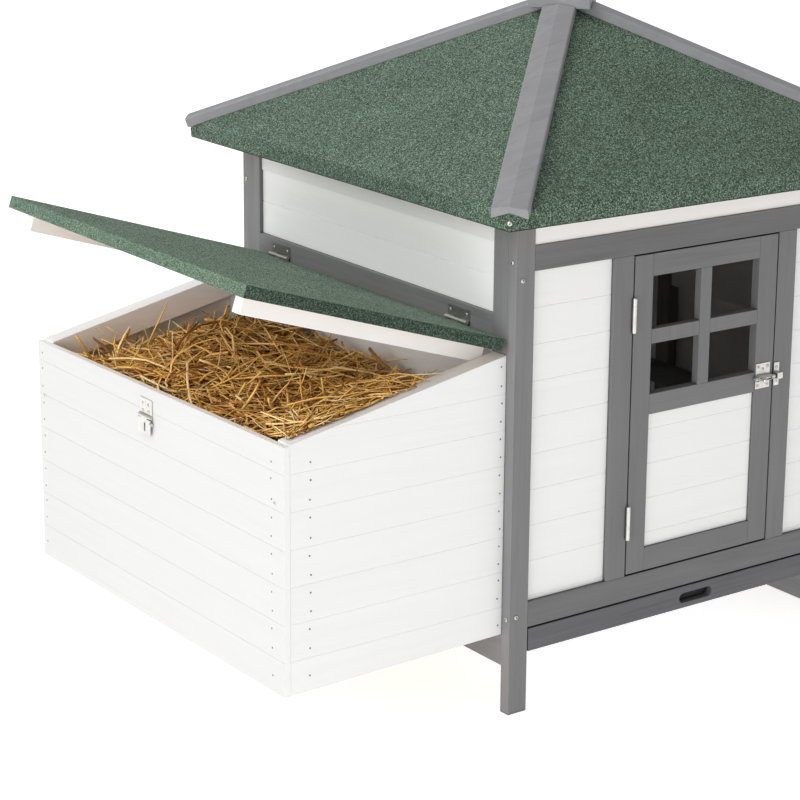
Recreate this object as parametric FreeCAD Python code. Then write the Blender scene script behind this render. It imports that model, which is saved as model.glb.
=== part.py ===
import FreeCAD, Part
import math
import os

os.makedirs("parts", exist_ok=True)

V = FreeCAD.Vector

# ---------------------------------------------------------------- driving sizes (mm)
# House frame: X right along the door wall, Y towards the back, Z up.
# Everything is drawn with the outer corner of the front-left post at x = y = 0
# and is moved at export so the middle of that post's foot is the origin.
SHIFT = V(-15.5, -9.0, 0)

W = 672.0            # house width
D = 672.0            # house depth
T = 18.0             # thickness of the frame timber
PW = 31.0            # face width of a post
REC = 6.0            # plank panels sit this far behind the frame face
PT = 10.0            # plank thickness
GAP = 2.0            # gap round the door

Z_TOPRAIL0, Z_TOPRAIL1 = 618.0, 653.0
Z_BOTRAIL0, Z_BOTRAIL1 = 121.5, 157.5
Z_APRON0 = 67.5      # underside of the side rails
Z_APRON1 = 125.0

JX0, JX1 = 167.0, 201.5          # left jamb
KX0, KX1 = 470.5, 505.0          # right jamb

# roof
OV = 56.0            # eave overhang
Z_EAVE_TOP = 716.0
Z_EAVE_BOT = 691.0
SLOPE = 0.528
FELT = 3.5
FELT_SIDE = 2.5
CAP_HALF = 24.0
CAP_SIDE = 13.5
CAP_CROWN = 3.0

# nest box (stands out of the left wall, towards -X)
NP = 345.0           # how far it stands out
NY0, NY1 = 18.0, 672.0
N_PLANK = 10.0
N_OUT_T = 9.0
N_FRAME = 18.0
N_Z_WALL, N_Z_OUT = 113.0, 105.5       # underside at the wall / at the outer board
N_RIM_WALL = 504.5
N_RIM_OUT_NEAR = 439.0
N_RIM_OUT_FAR = 430.0
N_FLOOR0, N_FLOOR1 = 113.5, 121.5

# nest lid
LID_PIN = (-5.0, 532.0)          # x, z of the hinge pin
LID_OPEN = 17.8                  # degrees above level as it stands
LID_S0, LID_S1 = 1.5, 414.0
LID_Y0, LID_Y1 = 12.0, 630.0
LID_TOP = -3.2                   # felt top below the pin
LID_BOARD = 13.0
BAT_H, BAT_W = 24.0, 18.0
BAT_S0, BAT_S1 = 3.0, 390.0
BAT_Y = (47.0, 597.0)

# door
DX0, DX1 = 203.5, 468.5
DZ0, DZ1 = 160.0, 616.0
DT = 15.0
STILE_L, STILE_R = 33.0, 34.5
WIN_TOP, MID1, MID0, DBOT1 = 584.5, 417.0, 388.0, 193.5
MX0, MX1 = 324.0, 344.0
MZ0, MZ1 = 489.0, 509.5
MT = 12.0

# butt hinges
PIN_R = 1.2
KN_R = 3.0
RUN = 0.05           # radial running clearance

# ---------------------------------------------------------------- helpers


def box(x0, x1, y0, y1, z0, z1):
    return Part.makeBox(x1 - x0, y1 - y0, z1 - z0, V(x0, y0, z0))


def rbox(x0, x1, y0, y1, z0, z1, r, axis):
    """Box with its long edges (those along the named axis) eased."""
    b = box(x0, x1, y0, y1, z0, z1)
    es = []
    for e in b.Edges:
        d = e.Vertexes[1].Point - e.Vertexes[0].Point
        if abs(d.dot(V(*axis))) > 0.99 * d.Length:
            es.append(e)
    return b.makeFillet(r, es)


def cyl(r, p, d, h):
    return Part.makeCylinder(r, h, V(*p), V(*d))


def prism_xz(pts, y0, y1):
    w = Part.makePolygon([V(x, y0, z) for x, z in pts + [pts[0]]])
    return Part.Face(w).extrude(V(0, y1 - y0, 0))


def prism_yz(pts, x0, x1):
    w = Part.makePolygon([V(x0, y, z) for y, z in pts + [pts[0]]])
    return Part.Face(w).extrude(V(x1 - x0, 0, 0))


def fuse(a, *rest):
    for s in rest:
        a = a.fuse(s)
    return a.removeSplitter()


NODES = []


def export(name, shapes):
    if not isinstance(shapes, (list, tuple)):
        shapes = [shapes]
    out = []
    for s in shapes:
        for q in s.Solids:
            c = q.copy()
            c.translate(SHIFT)
            out.append(c)
    shape = out[0] if len(out) == 1 else Part.makeCompound(out)
    shape.exportStep("parts/%s.step" % name)
    NODES.append(name)
    print(name, len(out), round(sum(q.Volume for q in out)))


# the space below the underside of the roof boards: wall tops are cut to it
def roof_z(d):
    """Height of the felt's top surface at distance d in from the eave."""
    return Z_EAVE_TOP + SLOPE * d


def pyramid(z_eave, z_floor):
    c = [V(-OV, -OV, z_eave), V(W + OV, -OV, z_eave),
         V(W + OV, D + OV, z_eave), V(-OV, D + OV, z_eave)]
    top = V(W / 2, D / 2, z_eave + SLOPE * (W / 2 + OV))
    g = [V(p.x, p.y, z_floor) for p in c]
    faces = []
    for i in range(4):
        j = (i + 1) % 4
        faces.append(Part.Face(Part.makePolygon([c[i], c[j], top, c[i]])))
        faces.append(Part.Face(Part.makePolygon([g[i], g[j], c[j], c[i], g[i]])))
    faces.append(Part.Face(Part.makePolygon([g[0], g[3], g[2], g[1], g[0]])))
    return Part.makeSolid(Part.makeShell(faces))


UNDER = pyramid(Z_EAVE_BOT, -50.0)


def under_roof(s):
    return s.common(UNDER)


# ---------------------------------------------------------------- corner posts
for nm, x0, y0 in (("front_left_post", 0, 0), ("front_right_post", W - PW, 0),
                   ("back_left_post", 0, D - T), ("back_right_post", W - PW, D - T)):
    export(nm, under_roof(box(x0, x0 + PW, y0, y0 + T, 0, 800)))

# ---------------------------------------------------------------- front wall
export("front_top_rail", box(PW, W - PW, 0, T, Z_TOPRAIL0, Z_TOPRAIL1))
export("front_bottom_rail", box(PW, W - PW, 0, T, Z_BOTRAIL0, Z_BOTRAIL1))
export("front_jambs", [box(JX0, JX1, 0, T, Z_BOTRAIL1, Z_TOPRAIL0),
                       box(KX0, KX1, 0, T, Z_BOTRAIL1, Z_TOPRAIL0)])
export("front_panels", [box(PW, JX0, REC, REC + PT, Z_BOTRAIL1, Z_TOPRAIL0),
                        box(KX1, W - PW, REC, REC + PT, Z_BOTRAIL1, Z_TOPRAIL0)])

# ---------------------------------------------------------------- left wall
LY0, LY1 = T, D - T
LS = 31.0                                  # side stile width
NEST_Y0 = 484.0                            # near edge of the way into the nest
RAIL0, RAIL1 = 515.0, 555.0                # hinge rail
FASC0 = 651.0
export("left_stiles", [under_roof(box(0, T, LY0, LY0 + LS, Z_APRON1, 800)),
                       under_roof(box(0, T, LY1 - 28.0, LY1, RAIL0, 800)),
                       box(14.0, 32.0, NEST_Y0 - 31.0, NEST_Y0, Z_APRON1, RAIL0)])
export("left_hinge_rail", box(0, T, LY0 + LS, LY1 - 28.0, RAIL0, RAIL1))
export("left_bottom_rail", box(0, T, LY0, LY1, Z_APRON0, Z_APRON1))
export("left_upper_panel", box(REC, REC + PT, LY0 + LS, LY1 - 28.0, RAIL1, FASC0))
export("left_lower_panel", box(4.0, 4.0 + PT, LY0 + LS, NEST_Y0, Z_APRON1, RAIL0))

# ---------------------------------------------------------------- back wall
export("back_frame", [box(PW, W - PW, D - T, D, Z_TOPRAIL0, Z_TOPRAIL1),
                      box(PW, W - PW, D - T, D, Z_BOTRAIL0 - 4.0, Z_BOTRAIL1),
                      box(W / 2 - 17.5, W / 2 + 17.5, D - T, D, Z_BOTRAIL1, Z_TOPRAIL0)])
export("back_panels", [box(PW, W / 2 - 17.5, D - REC - PT, D - REC, Z_BOTRAIL1, Z_TOPRAIL0),
                       box(W / 2 + 17.5, W - PW, D - REC - PT, D - REC, Z_BOTRAIL1, Z_TOPRAIL0)])

# ---------------------------------------------------------------- right wall
RX0, RX1 = W - T, W
HJ0, HJ1 = 236.0, 436.0                    # pop-hole, clear width
HEAD0 = 425.0                              # underside of the board over it
export("right_stiles", [under_roof(box(RX0, RX1, LY0, LY0 + LS, Z_APRON1, 800)),
                        under_roof(box(RX0, RX1, LY1 - LS, LY1, Z_APRON1, 800)),
                        box(RX0, RX1, HJ0 - 31.0, HJ0, Z_APRON1, RAIL0),
                        box(RX0, RX1, HJ1, HJ1 + 31.0, Z_APRON1, RAIL0)])
export("right_mid_rail", box(RX0, RX1, LY0 + LS, LY1 - LS, RAIL0, RAIL1))
export("right_bottom_rail", box(RX0, RX1, LY0, LY1, Z_APRON0, Z_APRON1))
export("right_skirt", box(RX0 - T, RX0, LY0, LY1, 1.0, 92.0))
export("right_panels", [box(RX1 - REC - PT, RX1 - REC, LY0 + LS, LY1 - LS, RAIL1, FASC0),
                        box(RX1 - REC - PT, RX1 - REC, LY0 + LS, HJ0 - 31.0, Z_APRON1, RAIL0),
                        box(RX1 - REC - PT, RX1 - REC, HJ1 + 31.0, LY1 - LS, Z_APRON1, RAIL0),
                        box(RX1 - REC - PT, RX1 - REC, HJ0, HJ1, HEAD0, RAIL0)])
guides = []
for sgn, e in ((1, HJ0), (-1, HJ1)):
    def span(a, b):
        lo, hi = sorted((e + sgn * a, e + sgn * b))
        return lo, hi
    a0, a1 = span(-17, -7)
    b0, b1 = span(-17, 0)
    c0, c1 = span(-7, 4)
    guides.append(fuse(box(W, W + 9.5, a0, a1, 122.0, 684.0),
                       box(W + 9.5, W + 15.5, b0, b1, 122.0, 684.0),
                       box(W, W + 9.5, c0, c1, 122.0, 127.7)))
export("hatch_guides", guides)

# ---------------------------------------------------------------- boards under the eaves
export("fascia_boards", [
    under_roof(box(PW, W - PW, 2, 14, Z_TOPRAIL1, 800)),
    under_roof(box(PW, W - PW, D - 14, D - 2, Z_TOPRAIL1, 800)),
    under_roof(box(4, 16, LY0 + LS, LY1 - 28.0, FASC0, 800)),
    under_roof(box(W - 16, W - 4, LY0 + LS, LY1 - LS, FASC0, 800))])

# ---------------------------------------------------------------- roof
def tri_slab(ov, z_top, th):
    """Four sloping triangular boards that meet on the hips."""
    k = SLOPE
    zt = z_top
    c = [V(-ov, -ov, zt), V(W + ov, -ov, zt), V(W + ov, D + ov, zt), V(-ov, D + ov, zt)]
    ap = V(W / 2, D / 2, zt + k * (W / 2 + ov))
    out = []
    for i in range(4):
        j = (i + 1) % 4
        f = Part.Face(Part.makePolygon([c[i], c[j], ap, c[i]]))
        out.append(f.extrude(V(0, 0, -th)))
    return out


ov_b = OV - FELT_SIDE
z_board_top = Z_EAVE_TOP - FELT + SLOPE * FELT_SIDE
board_th = z_board_top - (Z_EAVE_BOT + SLOPE * FELT_SIDE)
boards = tri_slab(ov_b, z_board_top, board_th)
export("roof_boards", boards)

felts = []
tops = tri_slab(OV, Z_EAVE_TOP, FELT)
outer = [V(-OV, -OV, 0), V(W + OV, -OV, 0), V(W + OV, D + OV, 0), V(-OV, D + OV, 0)]
inner = [V(-ov_b, -ov_b, 0), V(W + ov_b, -ov_b, 0), V(W + ov_b, D + ov_b, 0), V(-ov_b, D + ov_b, 0)]
for i in range(4):
    j = (i + 1) % 4
    pl = [outer[i], outer[j], inner[j], inner[i], outer[i]]
    pl = [V(p.x, p.y, Z_EAVE_BOT) for p in pl]
    strip = Part.Face(Part.makePolygon(pl)).extrude(V(0, 0, Z_EAVE_TOP - FELT - Z_EAVE_BOT + 2.5))
    f = tops[i].fuse(strip)
    f = f.cut(boards[i]).removeSplitter()
    # keep inside the pyramid's own top surface
    felts.append(f.common(pyramid(Z_EAVE_TOP, 0)))
export("roof_felt", felts)

# hip caps: crowned boards lying along the four hips
caps = []
APX = V(W / 2, D / 2, Z_EAVE_TOP + SLOPE * (W / 2 + OV))
for cx, cy in ((-OV, -OV), (W + OV, -OV), (W + OV, D + OV), (-OV, D + OV)):
    c = V(cx, cy, Z_EAVE_TOP)
    d = APX - c
    L = d.Length
    d.normalize()
    h = d.cross(V(0, 0, 1))
    h.normalize()
    n = h.cross(d)
    if n.z < 0:
        n = n * -1
    drop = CAP_HALF * SLOPE / math.sqrt(2) * math.cos(math.atan(SLOPE / math.sqrt(2)))
    prof = [(-CAP_HALF, -drop), (0, 0), (CAP_HALF, -drop),
            (CAP_HALF, -drop + CAP_SIDE), (CAP_HALF - 2.0, -drop + CAP_SIDE + 1.2),
            (0, -drop + CAP_SIDE + CAP_CROWN + 1.2),
            (-CAP_HALF + 2.0, -drop + CAP_SIDE + 1.2), (-CAP_HALF, -drop + CAP_SIDE)]
    start = c + d * (-1.0)
    pts = [start + h * s + n * t for s, t in prof]
    cap = Part.Face(Part.makePolygon(pts + [pts[0]])).extrude(d * (L + 40.0))
    # stop at the square apex block (its sides face the hips)
    caps.append(cap)
APEX_HALF = 45.0
APEX_Z0 = APX.z - 14.0
APEX_Z1 = APX.z + 9.0
rot = FreeCAD.Rotation(V(0, 0, 1), 45)
cutter = Part.makeBox(24.0, 24.0, 400.0, V(-12.0, -12.0, -200.0))
cutter.Placement = FreeCAD.Placement(V(APX.x, APX.y, APX.z), rot)
plate = Part.makeBox(2 * APEX_HALF, 2 * APEX_HALF, APEX_Z1 - APEX_Z0, V(-APEX_HALF, -APEX_HALF, 0))
top_e = [e for e in plate.Edges if min(v.Z for v in e.Vertexes) > APEX_Z1 - APEX_Z0 - 0.01]
plate = plate.makeChamfer(4.0, top_e)
plate.Placement = FreeCAD.Placement(V(APX.x, APX.y, APEX_Z0), rot)
quads = []
for i, cap in enumerate(caps):
    # keep only this cap's own quarter of the plan
    cx, cy = ((-OV, -OV), (W + OV, -OV), (W + OV, D + OV), (-OV, D + OV))[i]
    sx = -1 if cx < 0 else 1
    sy = -1 if cy < 0 else 1
    q = box(*(sorted((W / 2, W / 2 + sx * 600)) + sorted((D / 2, D / 2 + sy * 600)) + [0, 1200]))
    quads.append(cap.common(q).cut(cutter).cut(plate))
export("hip_caps", [max(q.Solids, key=lambda s: s.Volume) for q in quads])
ap = plate
for i in range(4):
    ap = ap.cut(quads[i])
core = pyramid(Z_EAVE_TOP, 0)
ap = ap.cut(core)
export("apex_cap", max(ap.Solids, key=lambda s: s.Volume))

# ---------------------------------------------------------------- inside
export("perch", rbox(548, 573, REC + PT + 0.1, D - REC - PT - 0.1, 300, 330, 4.0, (0, 1, 0)))
export("tray_runners", [box(T, 58.0, LY0, LY1, 83.0, 95.0),
                        box(600.0, RX0 - T, LY0, LY1, 83.0, 92.0 + 3.0)])

# ---------------------------------------------------------------- droppings tray
TY1 = 640.0
slot = fuse(box(313.5, 360.5, -5, 20, 94.0, 108.5),
            cyl(7.25, (313.5, -5, 101.25), (0, 1, 0), 25),
            cyl(7.25, (360.5, -5, 101.25), (0, 1, 0), 25))
export("tray_front", box(32.5, W - 32.5, 0, 12, 86.0, 119.0).cut(slot))
pan = box(40.0, 632.0, 12.0, TY1, 95.2, 107.0).cut(box(41.2, 630.8, 13.2, TY1 - 1.2, 96.4, 120))
export("tray_pan", pan)

# ---------------------------------------------------------------- nest box
def rim_near(x):
    return N_RIM_WALL + (N_RIM_WALL - N_RIM_OUT_NEAR) * x / NP


def rim_far(x):
    return N_RIM_WALL + (N_RIM_WALL - N_RIM_OUT_FAR) * x / NP


def sole(x):
    return N_Z_WALL + (N_Z_WALL - N_Z_OUT) * x / NP


xo, xi = -NP, -NP + N_OUT_T
export("nest_outer_panel", prism_yz([(NY0, N_Z_OUT), (NY1, N_Z_OUT), (NY1, N_RIM_OUT_FAR),
                                     (NY0, N_RIM_OUT_NEAR)], xo, xi))
export("nest_near_panel", prism_xz([(xi, sole(xi)), (0, sole(0)), (0, rim_near(0)), (xi, rim_near(xi))],
                                   NY0, NY0 + N_PLANK))
export("nest_far_panel", prism_xz([(xi, sole(xi)), (0, sole(0)), (0, rim_far(0)), (xi, rim_far(xi))],
                                  NY1 - N_PLANK, NY1))
fr = []
for y0, y1, rim in ((NY0 + N_PLANK, NY0 + N_PLANK + N_FRAME, rim_near),
                    (NY1 - N_PLANK - N_FRAME, NY1 - N_PLANK, rim_far)):
    fr.append(prism_xz([(xi, rim(xi) - 35), (0, rim(0) - 35), (0, rim(0)), (xi, rim(xi))], y0, y1))
    fr.append(prism_xz([(xi, N_FLOOR1), (xi + 31, N_FLOOR1), (xi + 31, rim(xi + 31) - 35),
                        (xi, rim(xi) - 35)], y0, y1))
    fr.append(prism_xz([(-31, N_FLOOR1), (0, N_FLOOR1), (0, rim(0) - 35), (-31, rim(-31) - 35)], y0, y1))
export("nest_end_frames", fr)
export("nest_floor", box(xi, 0, NY0 + N_PLANK, NY1 - N_PLANK, N_FLOOR0, N_FLOOR1))
SY0, SY1 = NY0 + N_PLANK + N_FRAME + 0.4, NY1 - N_PLANK - N_FRAME - 0.4
export("nest_straw", prism_xz([(xi + 0.4, N_FLOOR1 + 0.3), (-0.4, N_FLOOR1 + 0.3), (-0.4, 405), (-60, 415),
                               (-200, 415), (xi + 0.4, 402)], SY0, SY1))

# ---------------------------------------------------------------- nest lid, drawn level then turned
LR = FreeCAD.Rotation(V(0, 1, 0), LID_OPEN)


def lid_place(s):
    # s is drawn with the pin at x = z = 0 and the lid reaching to -X
    s = s.copy()
    s.Placement = FreeCAD.Placement(V(LID_PIN[0], 0, LID_PIN[1]), LR).multiply(s.Placement)
    return s


t1 = LID_TOP
t2 = LID_TOP - FELT
t3 = t2 - LID_BOARD
fs = FELT_SIDE
board = box(-LID_S1 + fs, -LID_S0, LID_Y0 + fs, LID_Y1 - fs, t3, t2)
felt = box(-LID_S1, -LID_S0, LID_Y0, LID_Y1, t3, t1)
felt = felt.makeFillet(2.4, [e for e in felt.Edges if abs(e.Vertexes[0].X + LID_S1) < 0.01
                             and abs(e.Vertexes[1].X + LID_S1) < 0.01
                             and abs(e.Vertexes[0].Y - e.Vertexes[1].Y) < 0.01])
felt = felt.cut(
    box(-LID_S1 + fs, 10, LID_Y0 + fs, LID_Y1 - fs, t3 - 5, t2))
export("lid_board", lid_place(board))
export("lid_felt", lid_place(felt))
export("lid_battens", [lid_place(box(-BAT_S1, -BAT_S0, y, y + BAT_W, t3 - BAT_H, t3)) for y in BAT_Y])

# ---------------------------------------------------------------- door
export("door_stiles", [box(DX0, DX0 + STILE_L, 0, DT, DZ0, DZ1),
                       box(DX1 - STILE_R, DX1, 0, DT, DZ0, DZ1)])
ix0, ix1 = DX0 + STILE_L, DX1 - STILE_R
export("door_rails", [box(ix0, ix1, 0, DT, WIN_TOP, DZ1),
                      box(ix0, ix1, 0, DT, MID0, MID1),
                      box(ix0, ix1, 0, DT, DZ0, DBOT1)])
export("door_muntins", [box(MX0, MX1, 0, MT, MID1, WIN_TOP),
                        box(ix0, MX0, 0, MT, MZ0, MZ1),
                        box(MX1, ix1, 0, MT, MZ0, MZ1)])
export("door_panel", box(ix0, ix1, 4.0, 12.0, DBOT1, MID0))

# ---------------------------------------------------------------- butt hinges
KN = 16.0            # length of one knuckle
HL = 48.4            # whole hinge


def hinge(make):
    """make(part) places a hinge drawn along +Z from z=0 with the pin on the Z axis,
    the fixed leaf on x -0.5..0.4 and the moving leaf on x 0.6..1.5, both from y=3."""
    bore_fix = PIN_R
    bore_mov = PIN_R + RUN
    plate_f = box(-0.5, 0.4, 3.0, 18.0, 0, HL)
    plate_m = box(0.6, 1.5, 3.0, 18.0, 0, HL)
    fixed = plate_f
    for z0 in (0, HL - KN):
        k = cyl(KN_R, (0, 0, z0), (0, 0, 1), KN).fuse(box(-0.5, 0.4, 0, 3.0, z0, z0 + KN))
        k = k.cut(cyl(bore_fix, (0, 0, z0 - 1), (0, 0, 1), KN + 2))
        fixed = fixed.fuse(k)
    k = cyl(KN_R, (0, 0, KN + 0.1), (0, 0, 1), HL - 2 * KN - 0.2).fuse(
        box(0.6, 1.5, 0, 3.0, KN + 0.1, HL - KN - 0.1))
    k = k.cut(cyl(bore_mov, (0, 0, 0), (0, 0, 1), HL))
    moving = plate_m.fuse(k)
    pin = cyl(PIN_R, (0, 0, -0.6), (0, 0, 1), HL + 1.2)
    return make(fixed.removeSplitter()), make(moving.removeSplitter()), make(pin)


def place(s, base, xdir, ydir, zdir):
    m = FreeCAD.Matrix(xdir[0], ydir[0], zdir[0], base[0],
                       xdir[1], ydir[1], zdir[1], base[1],
                       xdir[2], ydir[2], zdir[2], base[2], 0, 0, 0, 1)
    s = s.copy()
    s.Placement = FreeCAD.Placement(m).multiply(s.Placement)
    return s


pins = []
df, dm = [], []
for z0 in (510.0, 212.5):
    f, m, p = hinge(lambda s: place(s, (202.0, -3.0, z0), (1, 0, 0), (0, 1, 0), (0, 0, 1)))
    df.append(f)
    dm.append(m)
    pins.append(p)
export("door_hinge_fixed_leaves", df)
export("door_hinge_moving_leaves", dm)


def flat_hinge(along, pin, up_fixed, out_moving, y0, s_plate):
    """A hinge whose fixed leaf lies flat on the wall above the pin and whose moving
    leaf stands on the end of the board. along = sign of X away from the wall."""
    px, pz = pin
    # fixed: leaf on the wall face, 1.2 thick
    wall_x = px - along * abs(up_fixed)
    x0, x1 = sorted((wall_x, wall_x + along * 1.2))
    leaf = box(x0, x1, y0, y0 + HL, pz, pz + 16.0)
    fixed = leaf
    for a in (y0, y0 + HL - KN):
        wx0, wx1 = sorted((x0 if along > 0 else x1, px))
        web = box(wx0, wx1, a, a + KN, pz + 1.4, pz + 2.6)
        k = cyl(2.8, (px, a, pz), (0, 1, 0), KN).fuse(web)
        k = k.cut(cyl(PIN_R, (px, a - 1, pz), (0, 1, 0), KN + 2))
        fixed = fixed.fuse(k)
    gapcut = cyl(2.8 + 0.25, (px, y0 + KN, pz), (0, 1, 0), HL - 2 * KN)
    fixed = fixed.cut(gapcut).removeSplitter()
    pin_s = cyl(PIN_R, (px, y0 - 0.6, pz), (0, 1, 0), HL + 1.2)
    return fixed, pin_s


def moving_leaf(tilt, along, pin, y0, s0, s1, t_low):
    """Leaf on the board's end: drawn level with the pin at the origin, reaching down to
    t_low, then turned by tilt about the pin."""
    xs = sorted((along * s0, along * s1))
    leaf = box(xs[0], xs[1], y0, y0 + HL, t_low, -2.9)
    wx = sorted((along * s0, along * s1))
    k = cyl(2.8, (0, y0 + KN + 0.1, 0), (0, 1, 0), HL - 2 * KN - 0.2)
    web = box(min(0, wx[0]), max(0, wx[1]), y0 + KN + 0.1, y0 + HL - KN - 0.1, -4.4, -1.3)
    k = k.fuse(web)
    k = k.cut(cyl(PIN_R + RUN, (0, y0, 0), (0, 1, 0), HL))
    s = leaf.fuse(k).removeSplitter()
    s.Placement = FreeCAD.Placement(V(pin[0], 0, pin[1]), FreeCAD.Rotation(V(0, 1, 0), tilt))
    return s


lf, lm = [], []
LID_HY = (99.0, 542.0)
for y0 in LID_HY:
    f, p = flat_hinge(-1, LID_PIN, 5.0, 0, y0, 0)
    lf.append(f)
    pins.append(p)
    lm.append(moving_leaf(LID_OPEN, -1, LID_PIN, y0, 0.4, LID_S0, t3 + 0.5))
export("lid_hinge_moving_leaves", lm)

# ---------------------------------------------------------------- ramp on the right
RAMP_PIN = (677.0, 116.0)
RAMP_DOWN = 23.85
RAMP_L = 252.0
RY0, RY1 = 242.0, 430.0
RS0 = 5.5
rf, rm = [], []
for y0 in (256.0, 368.0):
    # leaf below the pin, on the rail
    px, pz = RAMP_PIN
    leaf = box(W, W + 1.2, y0, y0 + HL, pz - 20.0, pz)
    fixed = leaf
    for a in (y0, y0 + HL - KN):
        web = box(W, px, a, a + KN, pz - 2.6, pz - 1.4)
        k = cyl(2.8, (px, a, pz), (0, 1, 0), KN).fuse(web)
        k = k.cut(cyl(PIN_R, (px, a - 1, pz), (0, 1, 0), KN + 2))
        fixed = fixed.fuse(k)
    fixed = fixed.cut(cyl(3.05, (px, y0 + KN, pz), (0, 1, 0), HL - 2 * KN)).removeSplitter()
    rf.append(fixed)
    pins.append(cyl(PIN_R, (px, y0 - 0.6, pz), (0, 1, 0), HL + 1.2))
    # moving leaf lies on top of the ramp board
    ml = box(3.4, 22.0, y0, y0 + HL, -3.2, -2.0)
    k = cyl(2.8, (0, y0 + KN + 0.1, 0), (0, 1, 0), HL - 2 * KN - 0.2).fuse(
        box(0, 6.0, y0 + KN + 0.1, y0 + HL - KN - 0.1, -3.2, -1.4))
    k = k.cut(cyl(PIN_R + RUN, (0, y0, 0), (0, 1, 0), HL))
    ml = ml.fuse(k).removeSplitter()
    ml.Placement = FreeCAD.Placement(V(px, 0, pz), FreeCAD.Rotation(V(0, 1, 0), RAMP_DOWN))
    rm.append(ml)
export("lid_and_ramp_fixed_leaves", lf + rf)
export("ramp_hinge_moving_leaves", rm)
rb = box(RS0, RAMP_L, RY0, RY1, -15.2, -3.2)
rb.Placement = FreeCAD.Placement(V(RAMP_PIN[0], 0, RAMP_PIN[1]), FreeCAD.Rotation(V(0, 1, 0), RAMP_DOWN))
export("ramp_board", rb)
cl = []
for k in range(6):
    s = 38.0 + 38.0 * k
    c = box(s, s + 12.0, RY0 + 6, RY1 - 6, -3.2, 3.0)
    c.Placement = FreeCAD.Placement(V(RAMP_PIN[0], 0, RAMP_PIN[1]), FreeCAD.Rotation(V(0, 1, 0), RAMP_DOWN))
    cl.append(c)
export("ramp_cleats", cl)

# ---------------------------------------------------------------- pop-hole hatch
hb = box(W + 0.8, W + 8.8, 229.8, 442.2, 128.0, 440.0)
knob = cyl(5.0, (W + 8.8, 336, 400), (1, 0, 0), 6.0).fuse(cyl(9.0, (W + 14.8, 336, 400), (1, 0, 0), 8.0))
export("hatch_board", hb)
export("hatch_knob", knob.removeSplitter())

# ---------------------------------------------------------------- door bolt
BZ, BY, BR = 408.0, -5.0, 2.5
plate = box(434.8, 462.0, -1.2, 0, 392.0, 429.0)
barrel = cyl(4.4, (435.3, BY, BZ), (1, 0, 0), 26.0).fuse(box(435.3, 461.3, BY, -1.2, BZ - 4.4, BZ + 4.4))
barrel = barrel.cut(cyl(BR + RUN, (430, BY, BZ), (1, 0, 0), 40))
barrel = barrel.cut(box(437.3, 460.3, -12, BY, BZ - 2.3, BZ + 2.3))
export("bolt_plate", plate.fuse(barrel).removeSplitter())
rod = cyl(BR, (430.0, BY, BZ), (1, 0, 0), 38.3)
stem = cyl(1.8, (439.4, BY, BZ), (0, -1, 0), 10.0)
ball = Part.makeSphere(3.6, V(439.4, BY - 11.5, BZ))
export("bolt_rod", rod.fuse(stem).fuse(ball).removeSplitter())
export("bolt_keeper", [box(470.5, 480.5, -1.2, 0, 392.0, 403.6),
                       box(470.5, 480.5, -1.2, 0, 412.4, 426.0),
                       box(470.5, 480.5, -9.4, 0, 403.6, 404.8),
                       box(470.5, 480.5, -9.4, 0, 411.2, 412.4),
                       box(470.5, 480.5, -9.4, -8.2, 404.8, 411.2)])

# ---------------------------------------------------------------- nest hasp
hx = -NP
HPX, HPZ = hx - 2.4, 395.0
hp = box(hx - 1.2, hx, 343.5, 376.5, 395.0, 419.0)
for a, b in ((343.5, 351.0), (369.0, 376.5)):
    k = cyl(2.3, (HPX, a, HPZ), (0, 1, 0), b - a).fuse(box(HPX, hx, a, b, HPZ, HPZ + 2.3))
    k = k.cut(cyl(1.0, (HPX, a - 1, HPZ), (0, 1, 0), b - a + 2))
    hp = hp.fuse(k)
hp = hp.cut(box(HPX - 5, hx, 351.0, 369.0, 390, HPZ + 2.6))
hp = hp.cut(cyl(2.2, (hx - 5, 353.0, 412.0), (1, 0, 0), 10))
export("hasp_plate", hp.removeSplitter())
pins.append(cyl(1.0, (HPX, 342.5, HPZ), (0, 1, 0), 35.0))
export("hinge_pins", pins)
fl = cyl(2.3, (HPX, 351.2, HPZ), (0, 1, 0), 17.6).fuse(box(HPX - 2.3, HPX - 1.1, 351.2, 368.8, HPZ - 3, HPZ))
fl = fl.cut(cyl(1.05, (HPX, 340, HPZ), (0, 1, 0), 40))
fl = fl.fuse(box(HPX - 2.3, HPX - 1.1, 343.5, 376.5, HPZ - 24.0, HPZ - 3.0))
fl = fl.cut(box(HPX - 5, HPX + 1.5, 356.0, 360.0, HPZ - 20.0, HPZ - 8.0))
fl = fl.fuse(cyl(2.2, (HPX - 1.7, 340.0, HPZ - 8.0), (0, 1, 0), 4.0))
export("hasp_flap", fl.removeSplitter())

# ---------------------------------------------------------------- screws
HR, HT = 3.2, 1.2
sc = []
for x, s in ((0, -1), (W, 1)):
    for y, z in ((8.8, 631.5), (8.0, 136.7), (D - 8.8, 631.5), (D - 8.0, 136.7)):
        if x == 0 and y > NY0 and z < N_RIM_WALL:
            continue        # the nest box covers this one
        sc.append(cyl(HR, (x, y, z), (s, 0, 0), HT))
for x in (10.7, W - 10.7):
    for z in (607.8, 140.0):
        sc.append(cyl(HR, (x, 0, z), (0, -1, 0), HT))
        sc.append(cyl(HR, (x, D, z), (0, 1, 0), HT))
for y0 in LID_HY:
    for dy in (5.5, 37.5):
        sc.append(cyl(2.6, (-1.2, y0 + dy, 541.0), (-1, 0, 0), 1.3))
q = 1 / math.sqrt(2)
for cx, cy in ((-1, -1), (1, -1), (1, 1), (-1, 1)):
    px = -OV if cx < 0 else W + OV
    py = -OV if cy < 0 else D + OV
    a = Part.makeCylinder(3.4, 3.0, V(px - cx * 1.6, py - cy * 1.6, 702.0), V(cx * q, cy * q, 0))
    for fz in felts:
        a = a.cut(fz)
    for bz in boards:
        a = a.cut(bz)
    sc.append(max(a.Solids, key=lambda s: s.Volume))
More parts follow.
